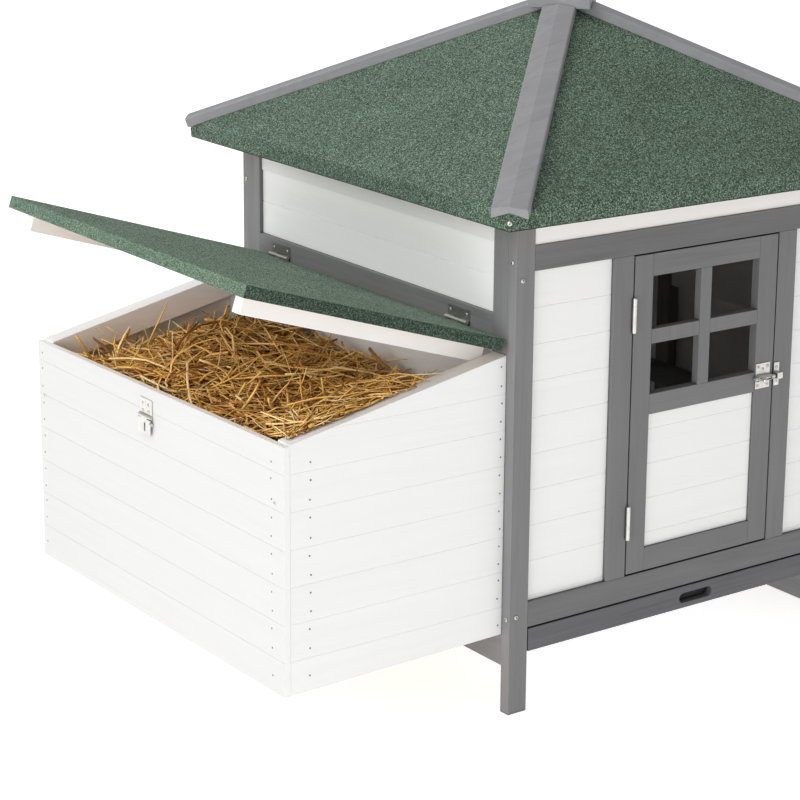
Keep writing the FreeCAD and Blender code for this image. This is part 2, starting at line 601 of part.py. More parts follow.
export("frame_screws", sc)
print(len(NODES), "nodes")
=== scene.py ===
import math

import bmesh
import bpy
import numpy as np
from mathutils import Matrix, Vector


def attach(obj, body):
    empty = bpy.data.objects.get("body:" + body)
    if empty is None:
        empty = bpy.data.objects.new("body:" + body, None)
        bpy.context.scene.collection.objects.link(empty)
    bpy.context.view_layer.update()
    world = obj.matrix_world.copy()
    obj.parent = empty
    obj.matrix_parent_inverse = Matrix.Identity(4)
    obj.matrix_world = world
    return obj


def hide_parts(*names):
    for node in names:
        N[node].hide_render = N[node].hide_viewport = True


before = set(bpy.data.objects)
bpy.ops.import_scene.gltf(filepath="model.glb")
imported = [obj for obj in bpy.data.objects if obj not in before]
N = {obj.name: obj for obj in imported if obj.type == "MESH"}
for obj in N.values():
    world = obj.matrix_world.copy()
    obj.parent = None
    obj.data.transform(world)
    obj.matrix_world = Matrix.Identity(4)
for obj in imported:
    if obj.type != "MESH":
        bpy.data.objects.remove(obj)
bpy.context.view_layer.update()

RNG = np.random.default_rng(7)


def H(x, y, z):
    """Millimetres from the outer corner of the front-left post to the model's metres."""
    return Vector(((x - 15.5) / 1000.0, (y - 9.0) / 1000.0, z / 1000.0))


# ------------------------------------------------------------------ node helpers
def new_mat(name):
    m = bpy.data.materials.new(name)
    m.use_nodes = True
    nt = m.node_tree
    nt.nodes.clear()
    out = nt.nodes.new("ShaderNodeOutputMaterial")
    bs = nt.nodes.new("ShaderNodeBsdfPrincipled")
    nt.links.new(bs.outputs[0], out.inputs[0])
    return m, nt, bs


def coords(nt, scale, rot=(0, 0, 0), loc=(0, 0, 0)):
    tc = nt.nodes.new("ShaderNodeTexCoord")
    mp = nt.nodes.new("ShaderNodeMapping")
    mp.inputs["Scale"].default_value = scale
    mp.inputs["Rotation"].default_value = rot
    mp.inputs["Location"].default_value = loc
    nt.links.new(tc.outputs["Object"], mp.inputs["Vector"])
    return mp.outputs["Vector"]


def noise(nt, vec, scale=1.0, detail=4.0, rough=0.55, dist=0.0):
    n = nt.nodes.new("ShaderNodeTexNoise")
    n.inputs["Scale"].default_value = scale
    n.inputs["Detail"].default_value = detail
    n.inputs["Roughness"].default_value = rough
    n.inputs["Distortion"].default_value = dist
    nt.links.new(vec, n.inputs["Vector"])
    return n.outputs["Fac"]


def ramp(nt, fac, stops, interp="LINEAR"):
    r = nt.nodes.new("ShaderNodeValToRGB")
    r.color_ramp.interpolation = interp
    els = r.color_ramp.elements
    while len(els) < len(stops):
        els.new(0.5)
    for e, (p, c) in zip(els, stops):
        e.position = p
        e.color = (c[0], c[1], c[2], 1.0) if not isinstance(c, (int, float)) else (c, c, c, 1.0)
    nt.links.new(fac, r.inputs["Fac"])
    return r.outputs["Color"]


def mul(nt, a, b, fac=1.0, mode="MULTIPLY"):
    m = nt.nodes.new("ShaderNodeMix")
    m.data_type = "RGBA"
    m.blend_type = mode
    m.inputs["Factor"].default_value = fac
    nt.links.new(a, m.inputs["A"])
    if isinstance(b, tuple):
        m.inputs["B"].default_value = (b[0], b[1], b[2], 1.0)
    else:
        nt.links.new(b, m.inputs["B"])
    return m.outputs["Result"]


def mixf(nt, fac, a, b):
    m = nt.nodes.new("ShaderNodeMix")
    m.data_type = "RGBA"
    nt.links.new(fac, m.inputs["Factor"])
    for k, v in (("A", a), ("B", b)):
        if isinstance(v, tuple):
            m.inputs[k].default_value = (v[0], v[1], v[2], 1.0)
        else:
            nt.links.new(v, m.inputs[k])
    return m.outputs["Result"]


def math_n(nt, op, a, b):
    m = nt.nodes.new("ShaderNodeMath")
    m.operation = op
    for i, v in enumerate((a, b)):
        if isinstance(v, (int, float)):
            m.inputs[i].default_value = v
        else:
            nt.links.new(v, m.inputs[i])
    return m.outputs[0]


def bump(nt, bs, height, dist, strength=1.0, prev=None):
    b = nt.nodes.new("ShaderNodeBump")
    b.inputs["Strength"].default_value = strength
    b.inputs["Distance"].default_value = dist
    nt.links.new(height, b.inputs["Height"])
    if prev is not None:
        nt.links.new(prev, b.inputs["Normal"])
    nt.links.new(b.outputs[0], bs.inputs["Normal"])
    return b.outputs[0]


def crevice(nt, col, dist, dark, power=1.0):
    """Painted shade, with some grime: ambient occlusion darkens the joints between boards."""
    ao = nt.nodes.new("ShaderNodeAmbientOcclusion")
    ao.samples = 6
    ao.inputs["Distance"].default_value = dist
    f = ramp(nt, ao.outputs["AO"], [(0.25, dark), (0.8, 1.0)])
    return mul(nt, col, f, power)


AX = {"X": (0, 1, 2), "Y": (1, 0, 2), "Z": (2, 0, 1)}


def grain_scale(axis, along, across):
    s = [across, across, across]
    s["XYZ".index(axis)] = along
    return tuple(s)


def paint(name, rgb, axis, vary=0.10, grain=0.35, rough=0.5, joint_shade=0.35, streak=None, knots=0.0,
          ao=True):
    """Painted softwood: thin satin paint with the grain showing through along one axis."""
    m, nt, bs = new_mat(name)
    fine = noise(nt, coords(nt, grain_scale(axis, 5.0, 190.0)), 1.0, 6.0, 0.62, 0.5)
    broad = noise(nt, coords(nt, grain_scale(axis, 2.2, 34.0), loc=(3.1, 1.7, 5.3)), 1.0, 4.0, 0.5, 1.2)
    cloud = noise(nt, coords(nt, (7.0, 7.0, 7.0)), 1.0, 3.0, 0.5)
    lo = tuple(c * (1 - vary) for c in rgb)
    hi = tuple(min(0.97, c * (1 + vary)) for c in rgb)
    col = ramp(nt, broad, [(0.3, lo), (0.7, hi)])
    g = ramp(nt, fine, [(0.28, 1 - vary * 1.3), (0.46, 1.0), (0.62, 1.0), (0.8, 1 + vary * 0.3)])
    col = mul(nt, col, g)
    col = mul(nt, col, ramp(nt, cloud, [(0.3, 1 - vary * 0.7), (0.7, 1.0)]))
    if streak is not None:
        s = noise(nt, coords(nt, grain_scale(axis, 3.0, 75.0), loc=(9.0, 4.0, 2.0)), 1.0, 7.0, 0.7, 0.8)
        col = mixf(nt, ramp(nt, s, [(0.60, 0.0), (0.78, 0.55)]), col, streak)
    if ao:
        # painted shade in the joints between boards
        col = crevice(nt, col, 0.006, joint_shade)
    nt.links.new(col, bs.inputs["Base Color"])
    nt.links.new(ramp(nt, fine, [(0.3, rough + 0.12), (0.7, rough - 0.06)]), bs.inputs["Roughness"])
    bs.inputs["Specular IOR Level"].default_value = 0.35
    h = mul(nt, ramp(nt, fine, [(0.25, 0.0), (0.75, 1.0)]), ramp(nt, broad, [(0.2, 0.4), (0.8, 1.0)]))
    bump(nt, bs, h, 0.0007, grain)
    return m


def felt_mat(name, dark, mid, light, gran=860.0):
    """Mineral-faced roofing felt: coloured grit over black bitumen."""
    m, nt, bs = new_mat(name)
    v = nt.nodes.new("ShaderNodeTexVoronoi")
    v.inputs["Scale"].default_value = gran
    v.inputs["Randomness"].default_value = 1.0
    nt.links.new(coords(nt, (1, 1, 1)), v.inputs["Vector"])
    sep = nt.nodes.new("ShaderNodeSeparateColor")
    nt.links.new(v.outputs["Color"], sep.inputs["Color"])
    n2 = noise(nt, coords(nt, (1, 1, 1)), gran * 0.62, 3.0, 0.7)
    base = ramp(nt, sep.outputs["Red"], [(0.0, dark), (0.30, tuple(a * 0.6 + b * 0.4 for a, b in zip(dark, mid))),
                                         (0.62, mid), (0.93, light)])
    clump = ramp(nt, n2, [(0.32, 0.62), (0.52, 1.0), (0.70, 1.35)])
    col = mul(nt, base, clump)
    wide = noise(nt, coords(nt, (9, 9, 9)), 1.0, 5.0, 0.6)
    col = mul(nt, col, ramp(nt, wide, [(0.3, 0.86), (0.7, 1.08)]))
    nt.links.new(col, bs.inputs["Base Color"])
    nt.links.new(ramp(nt, sep.outputs["Green"], [(0.0, 0.95), (1.0, 0.72)]), bs.inputs["Roughness"])
    bs.inputs["Specular IOR Level"].default_value = 0.25
    hb = mul(nt, ramp(nt, v.outputs["Distance"], [(0.0, 1.0), (0.7, 0.0)]), clump)
    nb = bump(nt, bs, hb, 0.0006, 0.55)
    big = noise(nt, coords(nt, (14, 14, 14)), 1.0, 2.0, 0.5)
    bump(nt, bs, big, 0.004, 0.5, prev=nb)
    return m


def metal(name, rgb, rough=0.33, vary=0.12, scale=260.0):
    m, nt, bs = new_mat(name)
    n = noise(nt, coords(nt, (1, 1, 1)), scale, 4.0, 0.6)
    w = noise(nt, coords(nt, (1, 1, 1)), 60.0, 3.0, 0.5)
    col = mul(nt, ramp(nt, w, [(0.3, tuple(c * (1 - vary) for c in rgb)), (0.7, rgb)]),
              ramp(nt, n, [(0.3, 0.86), (0.65, 1.0)]))
    # painted shade in the crevices of the hardware
    col = crevice(nt, col, 0.003, 0.25)
    nt.links.new(col, bs.inputs["Base Color"])
    bs.inputs["Metallic"].default_value = 0.85
    nt.links.new(ramp(nt, n, [(0.3, rough + 0.15), (0.7, rough - 0.05)]), bs.inputs["Roughness"])
    bump(nt, bs, n, 0.0003, 0.3)
    return m


def attr_mat_straw(name):
    m, nt, bs = new_mat(name)
    at = nt.nodes.new("ShaderNodeAttribute")
    at.attribute_name = "tone"
    fine = noise(nt, coords(nt, (1, 1, 1)), 340.0, 3.0, 0.6)
    col = mul(nt, at.outputs["Color"], ramp(nt, fine, [(0.3, 0.72), (0.7, 1.12)]))
    # painted shade: stalks turn dark brown where they crowd each other
    ao = nt.nodes.new("ShaderNodeAmbientOcclusion")
    ao.samples = 5
    ao.inputs["Distance"].default_value = 0.013
    col = mul(nt, col, ramp(nt, ao.outputs["AO"], [(0.15, (0.34, 0.20, 0.10)), (0.75, (1.0, 1.0, 1.0))]))
    nt.links.new(col, bs.inputs["Base Color"])
    nt.links.new(ramp(nt, fine, [(0.3, 0.62), (0.7, 0.42)]), bs.inputs["Roughness"])
    bs.inputs["Specular IOR Level"].default_value = 0.4
    bump(nt, bs, fine, 0.0004, 0.5)
    return m


GREY = (0.163, 0.163, 0.165)
# painted light: a lighter copy of the grey paint, used on the side frames and on the posts' left faces
GREY_LIT_SIDE = (0.202, 0.202, 0.205)
WHITE = (0.80, 0.80, 0.795)
M = {}
for a in "XYZ":
    M["g" + a] = paint("grey_paint_" + a.lower(), GREY, a, 0.07, 0.4, 0.52, 0.22)
    M["w" + a] = paint("white_paint_" + a.lower(), WHITE, a, 0.012, 0.22, 0.5, 0.86,
                       streak=(0.77, 0.76, 0.74))
    M["r" + a] = paint("bare_timber_" + a.lower(), (0.52, 0.37, 0.21), a, 0.22, 0.6, 0.6, 0.5)
# painted light and shade: copies of the grey paint made lighter for the posts and darker for the front rails
M["pZ"] = paint("post_grey_lit_z", (0.182, 0.182, 0.184), "Z", 0.07, 0.4, 0.52, 0.22)
M["tX"] = paint("rail_grey_shaded_x", (0.142, 0.142, 0.144), "X", 0.07, 0.4, 0.52, 0.22)
M["sY"] = paint("grey_lit_side_y", GREY_LIT_SIDE, "Y", 0.10, 0.5, 0.52, 0.30)
M["sZ"] = paint("grey_lit_side_z", GREY_LIT_SIDE, "Z", 0.10, 0.5, 0.52, 0.30)
# painted shade: a darker copy of the grey paint for the low tray front
M["aX"] = paint("apron_grey_shaded_x", (0.115, 0.115, 0.12), "X", 0.12, 0.5, 0.55, 0.3)
M["cap"] = paint("cap_grey", (0.25, 0.25, 0.26), "X", 0.07, 0.35, 0.5, 0.4)
# the nest's inside faces: a warm off-white, brightened above the white paint as painted light for the dim inside of the
# box
M["inner"] = paint("inner_wash_lit", (0.92, 0.885, 0.86), "X", 0.04, 0.35, 0.6, 0.75, streak=(0.66, 0.55, 0.48))
M["felt"] = felt_mat("roof_felt_green", (0.018, 0.033, 0.022), (0.078, 0.124, 0.084), (0.25, 0.34, 0.26), 820.0)
M["felt_lid"] = felt_mat("lid_felt_green", (0.026, 0.045, 0.030), (0.118, 0.184, 0.124), (0.34, 0.44, 0.35), 780.0)
# painted shade: darker copies of the felt for the lid's near side and outer edge and for the roof's underside
M["felt_fold_shaded"] = felt_mat("fold_felt_green_shaded", (0.012, 0.021, 0.014), (0.040, 0.068, 0.046), (0.11, 0.16, 0.12))
M["felt_edge_shaded"] = felt_mat("edge_felt_green_shaded", (0.045, 0.074, 0.050), (0.105, 0.162, 0.112), (0.20, 0.28, 0.21))
M["zinc"] = metal("zinc_plate", (0.72, 0.71, 0.67))
M["zinc_dark"] = metal("tray_sheet", (0.50, 0.51, 0.52), 0.45)
# a darker, rougher zinc for the flat faces of the fixed hinge leaves; their barrels stay bright
M["zinc_dull"] = metal("zinc_plate_dark", (0.26, 0.26, 0.26), 0.5)
# painted shade: a darker copy of the white paint for the nest box's outer face, which the key light hits hardest
M["wN"] = paint("white_paint_nest_shaded", (0.56, 0.56, 0.555), "Y", 0.012, 0.22, 0.5, 0.86, streak=(0.555, 0.55, 0.54))
# painted light: a brighter copy of the white paint for the upper left panel in the shade of the eave
M["wU"] = paint("white_paint_upper_lit", (0.90, 0.90, 0.895), "Y", 0.012, 0.22, 0.5, 0.86, streak=(0.85, 0.84, 0.82))
M["nail"] = metal("nail_head", (0.24, 0.235, 0.23), 0.5)
# painted shade: a near-black colour for recesses and for what is seen through the finger slot
M["slot"] = metal("recess_shade", (0.06, 0.06, 0.06), 0.6)
M["straw"] = attr_mat_straw("straw_stalk")


# ------------------------------------------------------------------ CAD nodes that stay
def set_mat(node, mats):
    """One material, or a function from a face's centre and normal to an index."""
    o = N[node]
    if not isinstance(mats, tuple):
        mats = (mats, None)
    ms, pick = mats
    if not isinstance(ms, list):
        ms = [ms]
    o.data.materials.clear()
    for m in ms:
        o.data.materials.append(M[m])
    idx = 0
    for p in o.data.polygons:
        p.material_index = pick(p.center, p.normal) if pick else idx


def ease(node, width=0.0009, seg=2, smooth=False):
    o = N[node]
    me = o.data
    if "custom_normal" in me.attributes:
        me.attributes.remove(me.attributes["custom_normal"])
    for p in me.polygons:
        p.use_smooth = smooth
    w = o.modifiers.new("weld", "WELD")
    w.merge_threshold = 0.00002
    b = o.modifiers.new("ease", "BEVEL")
    b.width = width
    b.segments = seg
    b.limit_method = "ANGLE"
    b.angle_limit = math.radians(25)
    b.harden_normals = smooth
    b.use_clamp_overlap = True


TIMBER = {
    "front_left_post": "pZ", "front_right_post": "pZ", "back_left_post": "pZ", "back_right_post": "pZ",
    "front_top_rail": "tX", "front_bottom_rail": "tX", "front_jambs": "gZ",
    "left_stiles": "sZ", "left_hinge_rail": "sY", "left_bottom_rail": "sY",
    "back_frame": "gX", "right_stiles": "sZ", "right_mid_rail": "sY", "right_bottom_rail": "sY",
    "right_skirt": "sY", "hatch_guides": "sZ", "fascia_boards": "wX",
    "door_stiles": "gZ", "door_rails": "gX", "door_muntins": "gZ",
    "lid_board": "rX", "lid_battens": "wX", "perch": "gY", "tray_runners": "rY",
    "nest_floor": "rX", "ramp_board": "gX", "ramp_cleats": "gY", "tray_front": "aX",
    "roof_boards": "rX", "nest_end_frames": "inner", "apex_cap": "cap", "hip_caps": "cap",
}
for n, k in TIMBER.items():
    set_mat(n, k)
    ease(n, 0.0012 if n in ("hip_caps", "apex_cap") else 0.0008)
# painted light: the inside faces take the brightened inner wash; the top faces take the white paint
set_mat("nest_end_frames", (["inner", "wX"], lambda c, q: 1 if q.z > 0.8 else 0))
# painted light: the posts' left faces take the lighter side grey
for n in ("front_left_post", "back_left_post"):
    set_mat(n, (["pZ", "sZ"], lambda c, q: 1 if q.x < -0.5 else 0))
for n in ("roof_felt", "lid_felt"):
    # painted shade: the lid's near side and outer edge and the roof's underside take the darker felt copies
    set_mat(n, (["felt" if n == "roof_felt" else "felt_lid", "felt_fold_shaded", "felt_edge_shaded"],
                lambda c, q: (1 if abs(q.y) > 0.7 else 2 if abs(q.x) > 0.8 else 0) if n == "lid_felt"
                else (1 if q.z < -0.5 else 0)))
    ease(n, 0.0034, 4, False)
for n in ("door_hinge_fixed_leaves", "door_hinge_moving_leaves", "lid_hinge_moving_leaves",
          "lid_and_ramp_fixed_leaves", "ramp_hinge_moving_leaves", "hinge_pins", "bolt_plate",
          "bolt_rod", "bolt_keeper", "hasp_plate", "hasp_flap"):
    set_mat(n, "zinc")
# painted shade: the pan's front faces, seen through the finger slot, take the near-black recess colour
set_mat("tray_pan", (["zinc_dark", "slot"], lambda c, q: 1 if q.y < -0.5 else 0))
# the flat faces of the fixed leaves take the darker zinc
set_mat("lid_and_ramp_fixed_leaves", (["zinc", "zinc_dull"], lambda c, q: 1 if abs(q.x) > 0.98 and abs(c.z - 0.5335) > 0.002 else 0))
set_mat("hatch_knob", "rX")


# ------------------------------------------------------------------ plank panels
def link(name, me, body, mats):
    o = bpy.data.objects.new(name, me)
    bpy.context.scene.collection.objects.link(o)
    for m in mats if isinstance(mats, list) else [mats]:
        me.materials.append(M[m])
    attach(o, body)
    return o


def panel(name, body, corner, U, V, Nn, lu, v0, v1, t, joints, mat, g=0.8, d=0.55,
          clips=(), nz=0):
    """Tongued-and-grooved boards. corner is where u = v = n = 0; the face is n = 0, outwards is +n."""
    bm = bmesh.new()
    U, V, Nn = Vector(U), Vector(V), Vector(Nn)
    prof = [(v0, -t), (v0, 0.0)]
    for j in sorted(joints):
        if v0 + g < j < v1 - g:
            prof += [(j - g, 0.0), (j - 0.25 * g, -d), (j + 0.25 * g, -d), (j + g, 0.0)]
    prof += [(v1, 0.0), (v1, -t)]
    nu = max(2, int(lu / 30.0))
    rings = []
    r = np.random.default_rng(nz + 11)
    cup = {}
    for i in range(nu + 1):
        u = lu * i / nu
        ring = []
        for k, (v, n) in enumerate(prof):
            p = corner + (U * u + V * v + Nn * n) / 1000.0
            ring.append(bm.verts.new(p))
        rings.append(ring)
    m = len(prof)
    for i in range(nu):
        for k in range(m):
            a, b = rings[i][k], rings[i][(k + 1) % m]
            c, e = rings[i + 1][(k + 1) % m], rings[i + 1][k]
            bm.faces.new((a, b, c, e))
    bm.faces.new(list(reversed(rings[0])))
    bm.faces.new(rings[-1])
    for co, no in clips:
        geom = bm.verts[:] + bm.edges[:] + bm.faces[:]
        res = bmesh.ops.bisect_plane(bm, geom=geom, plane_co=co, plane_no=no, clear_outer=True, dist=1e-7)
        cut = [e for e in res["geom_cut"] if isinstance(e, bmesh.types.BMEdge)]
        bmesh.ops.edgenet_fill(bm, edges=cut)
    bmesh.ops.recalc_face_normals(bm, faces=bm.faces[:])
    es = [e for e in bm.edges if len(e.link_faces) == 2 and e.calc_face_angle(0) > 1.15]
    bmesh.ops.bevel(bm, geom=es, offset=0.0006, segments=2, profile=0.6, affect="EDGES", clamp_overlap=True)
    me = bpy.data.meshes.new(name)
    bm.to_mesh(me)
    bm.free()
    return link(name, me, body, mat)


def steps(z0, pitch, lo, hi):
    k = math.ceil((lo - z0) / pitch)
    out = []
    while z0 + k * pitch < hi:
        out.append(z0 + k * pitch)
        k += 1
    return out


X, Y, Z = Vector((1, 0, 0)), Vector((0, 1, 0)), Vector((0, 0, 1))
J = steps(214.5, 50.4, 120, 650)
G = 0.15   # a panel stops this far short of the frame, all round
pf = [panel("front_planks_left", "house", H(31 + G, 6, 0), X, Z, -Y, 136 - 2 * G, 157.5 + G, 618 - G, 10, J, "wX"),
      panel("front_planks_right", "house", H(505 + G, 6, 0), X, Z, -Y, 136 - 2 * G, 157.5 + G, 618 - G, 10, J, "wX", nz=1)]
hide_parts("front_panels")
pu = panel("left_planks_upper", "house", H(6, 644 - 18, 0), -Y, Z, -X, 577 - 2 * G, 555 + G, 651 - G, 10, [603.5], "wU", d=1.0, nz=2)
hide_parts("left_upper_panel")
pl = panel("left_planks_lower", "house", H(4, 484 - G, 0), -Y, Z, -X, 435 - 2 * G, 125 + G, 515 - G, 10,
           steps(153, 50, 125, 515), "wY", nz=3)
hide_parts("left_lower_panel")
pb = [panel("back_planks_a", "house", H(318.5 - G, 666, 0), -X, Z, Y, 287.5 - 2 * G, 157.5 + G, 618 - G, 10, J, "wX", nz=4),
      panel("back_planks_b", "house", H(641 - G, 666, 0), -X, Z, Y, 287.5 - 2 * G, 157.5 + G, 618 - G, 10, J, "wX", nz=5)]
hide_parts("back_panels")
JR = steps(153, 50, 120, 660)
pr = [panel("right_planks_upper", "house", H(666, 49 + G, 0), Y, Z, X, 574 - 2 * G, 555 + G, 651 - G, 10, [603.5], "wY", nz=6),
      panel("right_planks_near", "house", H(666, 49 + G, 0), Y, Z, X, 156 - 2 * G, 125 + G, 515 - G, 10, JR, "wY", nz=7),
      panel("right_planks_far", "house", H(666, 467 + G, 0), Y, Z, X, 156 - 2 * G, 125 + G, 515 - G, 10, JR, "wY", nz=8),
      panel("right_planks_head", "house", H(666, 236 + G, 0), Y, Z, X, 200 - 2 * G, 425 + G, 515 - G, 10, JR, "wY", nz=9)]
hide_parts("right_panels")
pd = panel("door_planks", "front_door", H(236.5 + G, 4, 0), X, Z, -Y, 197.5 - 2 * G, 193.5 + G, 388 - G, 8,
           [214.5, 265.0, 315.5, 366.0], "wX", nz=10)
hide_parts("door_panel")
ph = panel("hatch_planks", "pop_hatch", H(680.8, 229.8, 0), Y, Z, X, 212.4, 128, 440, 8, steps(178, 50, 128, 440), "wY", nz=11)
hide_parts("hatch_board")

# nest box walls, cut to the slope of the rim and of the sole
NP = 345.0


def plane(p, q, up):
    """A cutting plane through two points (x, z) that runs along Y; keeps what is below or above it."""
    a, b = H(p[0], 0, p[1]), H(q[0], 0, q[1])
    d = (b - a).normalized()
    n = Vector((-d.z, 0, d.x))
    if (n.z > 0) != up:
        n = -n
    return a, n


def yplane(p, q, up):
    a, b = H(0, p[0], p[1]), H(0, q[0], q[1])
    d = (b - a).normalized()
    n = Vector((0, -d.z, d.y))
    if (n.z > 0) != up:
        n = -n
    return a, n


JN = steps(152.5, 50, 105, 520)
sole = plane((-345, 105.5), (0, 113), False)
po = panel("nest_planks_outer", "house", H(-345, 672 - 0.0, 0), -Y, Z, -X, 654, 105.5, 441, 9, JN[:6], "wN",
           g=0.7, d=0.45, clips=[yplane((18, 439), (672, 430), True)], nz=12)
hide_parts("nest_outer_panel")
# painted shade: the outer face keeps the darker nest copy of the white paint; the edges take the plain white paint
po.data.materials.append(M["wX"])
for q in po.data.polygons:
    if abs(q.normal.x) < 0.6:
        q.material_index = len(po.data.materials) - 1
# the pan's front edge, turned down behind the finger slot and coloured near-black: painted shade seen through the slot
bm = bmesh.new()
lo, hi = H(300, 12.3, 89), H(374, 13.1, 104)
bmesh.ops.create_cube(bm, size=1.0)
for v in bm.verts:
    v.co = Vector([lo[k] + (hi[k] - lo[k]) * (v.co[k] + 0.5) for k in range(3)])
me = bpy.data.meshes.new("tray_lip_slot_shade")
bm.to_mesh(me)
bm.free()
link("tray_lip_slot_shade", me, "droppings_tray", ["slot"])
pn = panel("nest_planks_near", "house", H(-336 + 0.1, 18, 0), X, Z, -Y, 336 - 0.2, 104, 507, 10, JN, "wX", g=0.7, d=0.45,
           clips=[plane((-345, 439), (0, 504.5), True), sole], nz=13)
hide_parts("nest_near_panel")
pp = panel("nest_planks_far", "house", H(-0.1, 672, 0), -X, Z, Y, 336 - 0.2, 104, 507, 10, JN, "wX", g=0.7, d=0.45,
           clips=[plane((-345, 430), (0, 504.5), True), sole], nz=14)
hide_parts("nest_far_panel")


# ------------------------------------------------------------------ screws and nails
def lathe(bm, c, n, prof, seg=16):
    n = n.normalized()
    a = n.orthogonal().normalized()
    b = n.cross(a)
    rings = []
    for r, h in prof:
        if r < 1e-9:
            rings.append([bm.verts.new(c + n * h)])
            continue
        rings.append([bm.verts.new(c + n * h + (a * math.cos(t) + b * math.sin(t)) * r)
                      for t in (2 * math.pi * i / seg for i in range(seg))])
    for p, q in zip(rings, rings[1:]):
        for i in range(seg):
            j = (i + 1) % seg
            if len(p) == 1:
                bm.faces.new((p[0], q[i], q[j]))
            elif len(q) == 1:
                bm.faces.new((p[i], p[j], q[0]))
            else:
                bm.faces.new((p[i], p[j], q[j], q[i]))


def screws(name, body, spots, r, h, cross=True, mat="zinc"):
    """Pan-head screws with a cross recess. spots holds (position in house mm, outward axis)."""
    bm = bmesh.new()
    me = bpy.data.meshes.new(name)
    k = 0
    for p, n in spots:
        c, n = H(*p), Vector(n).normalized()
        R, Hh = r / 1000, h / 1000
        f0 = len(bm.faces)
        lathe(bm, c, n, [(R * 0.96, -0.0002), (R, Hh * 0.35), (R * 0.88, Hh * 0.72), (R * 0.6, Hh * 0.93), (0, Hh)])
        # painted shade: the cross recess takes the near-black recess colour
        if cross:
            a = n.orthogonal().normalized()
            ang = 0.5 + 1.7 * k
            a = Matrix.Rotation(ang, 3, n) @ a
            b = n.cross(a)
            bm.faces.ensure_lookup_table()
            for s, t in ((a, b), (b, a)):
                vs = [bm.verts.new(c + n * (Hh * 1.0 + 0.00004) + s * (R * 0.58 * i) + t * (R * 0.11 * j))
                      for i, j in ((-1, -1), (1, -1), (1, 1), (-1, 1))]
                lo = [bm.verts.new(v.co - n * Hh * 0.5) for v in vs]
                fs = [bm.faces.new(vs)] + [bm.faces.new((vs[i], lo[i], lo[(i + 1) % 4], vs[(i + 1) % 4])) for i in range(4)]
                for f in fs:
                    f.material_index = 1
        k += 1
    bmesh.ops.recalc_face_normals(bm, faces=[f for f in bm.faces if f.material_index == 0])
    for f in bm.faces:
        f.smooth = f.material_index == 0
    bm.to_mesh(me)
    bm.free()
    return link(name, me, body, [mat, "slot"])


big = []
for x, s in ((0, -1), (672, 1)):
    for y, z in ((8.8, 631.5), (8.0, 136.7), (663.2, 631.5), (664.0, 136.7)):
        if not (x == 0 and y > 18 and z < 500):
            big.append(((x, y, z), (s, 0, 0)))
for x in (10.7, 661.3):
    for z in (607.8, 140.0):
        big.append(((x, 0, z), (0, -1, 0)))
        big.append(((x, 672, z), (0, 1, 0)))
for cx, cy in ((-1, -1), (1, -1), (1, 1), (-1, 1)):
    big.append((((-56 if cx < 0 else 728) - cx * 0.4, (-56 if cy < 0 else 728) - cy * 0.4, 702.0), (cx, cy, 0)))
sb = screws("frame_screw_heads", "house", big, 3.2, 1.7)
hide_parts("frame_screws")
hs = []
for y0 in (99.0, 542.0):
    for dy in (6.0, 42.4):
        hs.append(((-1.2, y0 + dy, 541.5), (-1, 0, 0)))
for y0 in (256.0, 368.0):
    for dy in (6.0, 42.4):
        hs.append(((673.2, y0 + dy, 103.0), (1, 0, 0)))
for x, z in ((437.2, 396.5), (459.4, 396.5), (437.2, 424.5), (459.4, 424.5)):
    pass
screws("hinge_screw_heads", "house", hs, 2.6, 1.2)
screws("bolt_plate_screw_heads", "front_door", [((x, -1.2, z), (0, -1, 0)) for x, z in
       ((439.5, 396.6), (457.5, 396.6), (439.5, 424.2), (457.5, 424.2), (448.5, 420.5))], 2.2, 1.0)
screws("keeper_screw_heads", "house", [((475.4, -1.2, 398.0), (0, -1, 0)), ((475.4, -1.2, 419.5), (0, -1, 0))], 2.2, 1.0)
screws("hasp_screw_heads", "house", [((-346.2, 367.5, 412.0), (-1, 0, 0)), ((-346.2, 367.5, 402.0), (-1, 0, 0)),
                                      ((-346.2, 352.6, 402.5), (-1, 0, 0))], 2.1, 1.0)
# the pin of the staple side and a larger screw at the near end of the outer wall
screws("nest_corner_screws", "house", [((-345, 40.0, 361.0), (-1, 0, 0)), ((-345, 655.0, 352.0), (-1, 0, 0))], 2.6, 1.0)

nails = []
rn = np.random.default_rng(3)
for z in [128] + [j + o for j in JN for o in (12, 38)]:
    jit = lambda: float(rn.uniform(-1.2, 1.2))
    if z < 428:
        nails.append(((-345, 47.5 + jit(), z + jit()), (-1, 0, 0)))
        nails.append(((-345, 660 + jit(), z + jit()), (-1, 0, 0)))
    if z < 438:
        nails.append(((-306.5 + jit(), 18, z + jit()), (0, -1, 0)))
        nails.append(((-306.5 + jit(), 672, z + jit()), (0, 1, 0)))
    if z < 498:
        nails.append(((-7 + jit(), 18, z + jit()), (0, -1, 0)))
        nails.append(((-7 + jit(), 672, z + jit()), (0, 1, 0)))
screws("nest_nails", "house", nails, 1.35, 0.4, cross=False, mat="nail")


